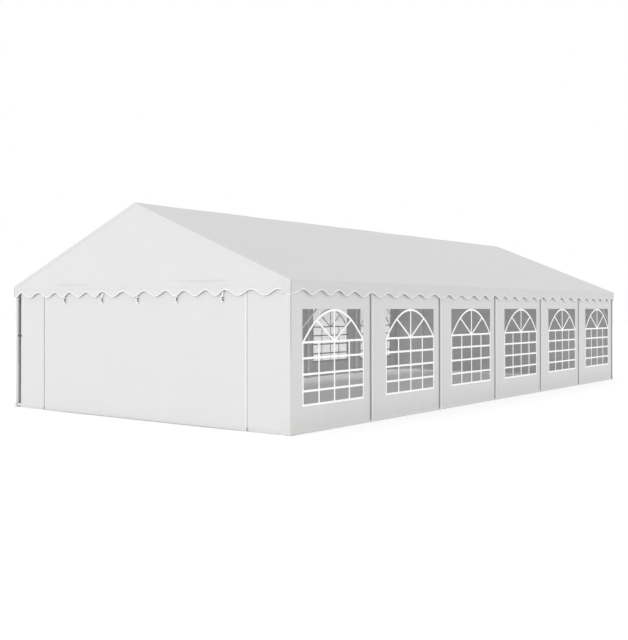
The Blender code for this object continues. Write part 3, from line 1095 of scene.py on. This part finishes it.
def buildDoors():
    left, right, half = door["leftZip"], door["rightZip"], door["zipGap"] / 2
    spans = [
        ("gableWallFrontLeft", door["leftEdge"], left - half),
        ("doorFront", left + half, right - half),
        ("gableWallFrontRight", right + half, door["rightEdge"]),
    ]
    rows = spaced(door["bottom"], door["top"], 0.05)
    for name, first, last in spans:
        slotName = "door_fabric" if name == "doorFront" else "wall_fabric"
        columns = spaced(first, last, 0.045)
        pieces = [sheetFrom(name, columns, rows, onFront, "gableFabric"),
                  footHem(name.replace("Front", "HemFront"), columns, onFront, door["bottom"])]
        if name == "doorFront":
            pieces += zipPieces()
        flat = (last - first, door["top"] - door["bottom"])

        def finish(made, end):
            sheet, *extras = made
            if sheet.name == "gableWallBackRight":
                extras.append(cornerTape())
            settleSheet(sheet, extras, slotName, [nodeName(sheet.name)], held="hung", flat=flat,
                        rests_on=[f"gable_frame_{end}"])

        bothEnds(pieces, finish)
    print("gable walls and doors done")


# steel frame
steel = {
    "postX": 2.97,
    "endY": 5.97,
    "low": 0.004,
    "postRadius": 0.030,
    "footTop": 0.019,
    "footRadii": (0.044, 0.0302),
    "collar": (1.84, 1.90),
    "collarMore": 0.0012,
    "rafterRadius": 0.0292,
    "rafterStart": 0.02,
    "rafterBolt": 1.52,
    "railRadius": 0.021,
    "railHalf": 5.9985,
    "jointHalf": 0.05,
    "jointMore": 0.0015,
    "groundRadius": 0.018,
    "sleeveRadius": 0.031,
    "groundSleeveRadius": 0.026,
    "sleeveHalf": 0.06,
    "gableY": 5.975,
    "gableRadius": 0.024,
    "gableJointRadius": 0.0248,
    "doorPostRadius": 0.0232,
    "doorPostX": 2.2,
    "doorPlate": 0.04,
    "crossbarZ": 1.955,
    "groundZ": 0.045,
    "eaveZ": 2.0137,
    "ridgeZ": 3.2091,
    "purlinZ": 2.6114,
    "plate": 0.05,
    "plateThick": 0.006,
    "braceLow": 1.206,
    "braceRun": 1.022,
    "braceRadius": 0.012,
    "clampHalf": 0.025,
    "clampRadius": 0.026,
    "pegIn": 0.038,
}


def boltAt(place, direction, size=0.009):
    # a hexagon head on its washer
    place, direction = Vector(place), Vector(direction).normalized()
    washer = tubeAlong(place, place + direction * 0.0016, size * 1.25, vertices=20, rounded=0.0004)
    head = tubeAlong(place + direction * 0.0014, place + direction * 0.0075, size, vertices=6, rounded=0.0008)
    return [washer, head]


def plateAt(x, y, half):
    thick = steel["plateThick"]
    piece = primitive(bpy.ops.mesh.primitive_cube_add, size=1, location=(x, y, thick / 2),
                      scale=(2 * half, 2 * half, thick))

    def clear():
        bpy.context.tool_settings.mesh_select_mode = (False, True, False)
        bpy.ops.mesh.select_all(action="DESELECT")

    inEditMode(clear)
    for edge in piece.data.edges:
        low, high = (piece.data.vertices[v].co.z for v in edge.vertices)
        edge.select = abs(low - high) > thick / 2
    inEditMode(lambda: bpy.ops.mesh.bevel(offset=half * 0.22, segments=4))
    soften(piece, 0.0008)
    return piece


def pegAt(x, y, height=0.05):
    # ground peg through the plate, with a ring at its head
    shaft = tubeUp(x, y, 0.0005, height, 0.0052, vertices=14, rounded=0.0008)
    return [shaft, torus((x, y, height), (90, 0, 0), 0.012, 0.003, 20, 8)]


def sleevesOn(axes, y, radiusKey):
    half, end = steel["sleeveHalf"], steel["railHalf"]
    low, high = max(y - half, -end), min(y + half, end)
    return [tubeAlong((x, low, z), (x, high, z), steel[radiusKey], rounded=0.0025) for x, z in axes]


def finishSteel(name, parts, material="paintedSteel", slotName="frame_steel"):
    piece = withMaterial(joined(name, parts), material)
    bpy.ops.object.shade_smooth_by_angle(angle=math.radians(40))
    settle(piece, slotName, nodeName(name))


def postParts(x, y):
    shadedInward = -math.copysign(1, x)
    radius, low, eave = steel["postRadius"], steel["low"], steel["eaveZ"]
    collar = radius + steel["collarMore"]
    parts = [
        tubeUp(x, y, low, eave + 0.004, radius),
        tubeUp(x, y, low, steel["footTop"], *steel["footRadii"]),
        plateAt(x, y, steel["plate"]),
        *sleevesOn([(x, eave)], y, "sleeveRadius"),
        *sleevesOn([(x, steel["groundZ"])], y, "groundSleeveRadius"),
        tubeUp(x, y, *steel["collar"], collar, rounded=0.001),
    ]
    parts += boltAt((x + shadedInward * radius, y, sum(steel["collar"]) / 2), (shadedInward, 0, 0))
    if abs(y) == steel["endY"]:
        clampY, foot = y - math.copysign(steel["braceRun"], y), steel["braceLow"]
        parts.append(tubeAlong((x, y, foot), (x, clampY, eave), steel["braceRadius"], rounded=0.0))
        parts.append(tubeBack(x, eave, clampY, steel["clampHalf"], steel["clampRadius"]))
        parts.append(tubeUp(x, y, foot - 0.03, foot + 0.03, collar))
        parts += pegAt(x + shadedInward * steel["pegIn"], y - math.copysign(steel["pegIn"], y))
    return parts


def buildPortals():
    for number in range(tent["bays"] + 1):
        y = min(max(-halfLength + number * tent["bay"], -steel["endY"]), steel["endY"])
        for side, word in ((-1, "Left"), (1, "Right")):
            # bare corner posts take the darker copy of the paint (painted shade), the inner posts the lighter
            # copy (painted highlight)
            look = "cornerSteel" if number in (0, tent["bays"]) else "paintedSteel"
            finishSteel(f"post{word}{number + 1}", postParts(side * steel["postX"], y), look)
        axes = [(0, steel["ridgeZ"]), (-tent["purlin"], steel["purlinZ"]), (tent["purlin"], steel["purlinZ"])]
        parts = sleevesOn(axes, y, "sleeveRadius")
        for side in (-1, 1):
            eave = Vector((side * steel["postX"], y, steel["eaveZ"]))
            ridge = Vector((0, y, steel["ridgeZ"]))
            along = (ridge - eave).normalized()
            start = eave + along * steel["rafterStart"]
            parts.append(tubeAlong(start, ridge, steel["rafterRadius"], rounded=0.0))
            parts += boltAt(eave + along * steel["rafterBolt"] + Vector((0, 0.0285, 0)), (0, 1, 0))
        finishSteel(f"rafterPair{number + 1}", parts)


def buildRails():
    rails = {
        "eaveRailLeft": (-steel["postX"], "eaveZ"),
        "eaveRailRight": (steel["postX"], "eaveZ"),
        "purlinLeft": (-tent["purlin"], "purlinZ"),
        "purlinRight": (tent["purlin"], "purlinZ"),
        "ridgeBeam": (0.0, "ridgeZ"),
        "groundRailLeft": (-steel["postX"], "groundZ"),
        "groundRailRight": (steel["postX"], "groundZ"),
    }
    for name, (x, level) in rails.items():
        z, onGround = steel[level], level == "groundZ"
        radius = steel["groundRadius" if onGround else "railRadius"]
        parts = [tubeBack(x, z, 0, steel["railHalf"], radius)]
        for number in range(tent["bays"]):
            y = -halfLength + (number + 0.5) * tent["bay"]
            parts.append(tubeBack(x, z, y, steel["jointHalf"], radius + steel["jointMore"]))
            parts += boltAt((x, y + 0.03, z - radius - 0.001), (0, 0, -1), 0.006)
        # ground rails take the dark zinc steel: partly painted shade
        finishSteel(name, parts, "zincSteel" if onGround else "paintedSteel", "rail_steel")


def buildGableFrames():
    bar, ground = steel["crossbarZ"], steel["groundZ"]
    reach = steel["postX"] - steel["postRadius"] - 0.0004
    for side, word in ((-1, "Front"), (1, "Back")):
        y = side * steel["gableY"]
        parts = [tubeAlong((-reach, y, bar), (reach, y, bar), steel["gableRadius"]),
                 tubeAlong((-reach, y, ground), (reach, y, ground), steel["groundRadius"])]
        for x in (-steel["doorPostX"], steel["doorPostX"]):
            parts.append(tubeUp(x, y, steel["low"], bar, steel["doorPostRadius"]))
            parts.append(plateAt(x, y, steel["doorPlate"]))
            parts.append(tubeAlong((x - 0.05, y, bar), (x + 0.05, y, bar), steel["gableJointRadius"]))
            parts += boltAt((x, y - side * 0.0235, bar - 0.06), (0, -side, 0))
        finishSteel(f"gableFrame{word}", parts)


def buildFrame():
    buildPortals()
    buildRails()
    buildGableFrames()
    print("frame done")


# fittings: ties under the gable valance, corner straps, rings and pegs at the foot of the zips;
# a tie is its place, the height it hangs from and its lean, a knot its share of the height, shift and radius
fitting = {
    "ties": ((-1.646, 1.862, 0.0), (-0.735, 1.900, 0.045), (0.075, 1.845, 0.0), (0.904, 1.845, 0.0),
             (1.801, 1.888, 0.030)),
    "tieLow": 1.752,
    "tieHigh": 0.085,
    "cord": 0.0055,
    "cords": (-0.004, 0.005),
    "knots": ((0.0, 0.006, 0.0170), (0.42, -0.007, 0.0145), (0.80, 0.004, 0.0130)),
    "shadowEyelets": (0.21, 0.62),
    "shadowEyeletRadius": 0.010,
    "strapHeight": 1.2,
    "strapWidth": 0.026,
}


def ballAt(place, radius):
    ball = primitive(bpy.ops.mesh.primitive_uv_sphere_add, segments=24, ring_count=14, radius=radius,
                     location=place)
    bpy.ops.object.shade_smooth()
    return withMaterial(ball, "toggle")


def ringAt(place, turn, radius, thick, material):
    ring = torus(place, turn, radius, thick)
    bpy.ops.object.shade_smooth()
    return withMaterial(ring, material)


def tiePieces(number, x, high, lean):
    # knotted cord hanging from the valance's edge, its knots and dark eyelets in turn; the eyelets' near-black
    # is painted shade, the shadows beside the knots
    low, rise = fitting["tieLow"], fitting["tieHigh"]
    face = onFront(x, low).y
    hang = [Vector((x, face - 0.016, low)), Vector((x + 0.003, face - 0.018, low + rise)),
            Vector((x + lean, face - 0.030, high))]
    parts = []
    for a, b in zip(hang[:-1], hang[1:]):
        for offset in fitting["cords"]:
            shift = Vector((offset, 0, 0))
            cord = tubeAlong(a + shift, b + shift, fitting["cord"], vertices=12)
            parts.append(withMaterial(cord, "toggle"))
    for share, offset, radius in fitting["knots"]:
        parts.append(ballAt((x + offset, face - 0.022, low + rise * share), radius))
    for share in fitting["shadowEyelets"]:
        place = Vector((x + 0.011, face - 0.030, low + rise * share))
        shadowEyelet = tubeAlong(place, place + Vector((0, 0.012, 0)), fitting["shadowEyeletRadius"], vertices=16)
        parts.append(withMaterial(shadowEyelet, "darkStrap"))
    return joined(f"tieFront{number}", parts)


def zipFoot(name, x):
    face = onFront(x, 0.05).y
    ring = ringAt((x, face - 0.008, 0.038), (90, 0, 0), 0.012, 0.0026, "zincSteel")
    peg = tubeUp(x, face - 0.006, 0.004, 0.05, 0.004, vertices=14)
    return joined(name, [ring, withMaterial(peg, "zincSteel")])


def cornerStrap():
    # elastic strap from the bare corner post to the edge of the wall
    x, y, z, radius = -steel["postX"], -steel["endY"], fitting["strapHeight"], steel["postRadius"]
    ring = ringAt((x, y, z), (0, 0, 0), radius + 0.0025, 0.0028, "toggle")
    edge = onFront(door["leftEdge"] + 0.012, z, 0.004)
    start = Vector((x + radius * 0.8, y - radius * 0.5, z))
    path = [start.lerp(edge, t) for t in spaced(0, 1, 0.1)]
    strap = strip("strap", path, (0, 0, 1), fitting["strapWidth"], 0.0035, "darkStrap", rounded=0.001)
    hook = ringAt(edge, (90, 0, 0), 0.011, 0.0025, "zincSteel")
    return joined("cornerStrapFront", [ring, strap, hook])


def buildFittings():
    pieces = [tiePieces(number + 1, *place) for number, place in enumerate(fitting["ties"])]
    pieces += [zipFoot(f"zipFootFront{word}", door[f"{word.lower()}Zip"]) for word in ("Left", "Right")]
    pieces.append(cornerStrap())

    def finish(made, end):
        for piece in made:
            settle(piece)

    bothEnds(pieces, finish)
    print("fittings done")


addCamera()
addStudio()
buildRoof()
buildGable()
buildWalls()
buildDoors()
buildFrame()
buildFittings()
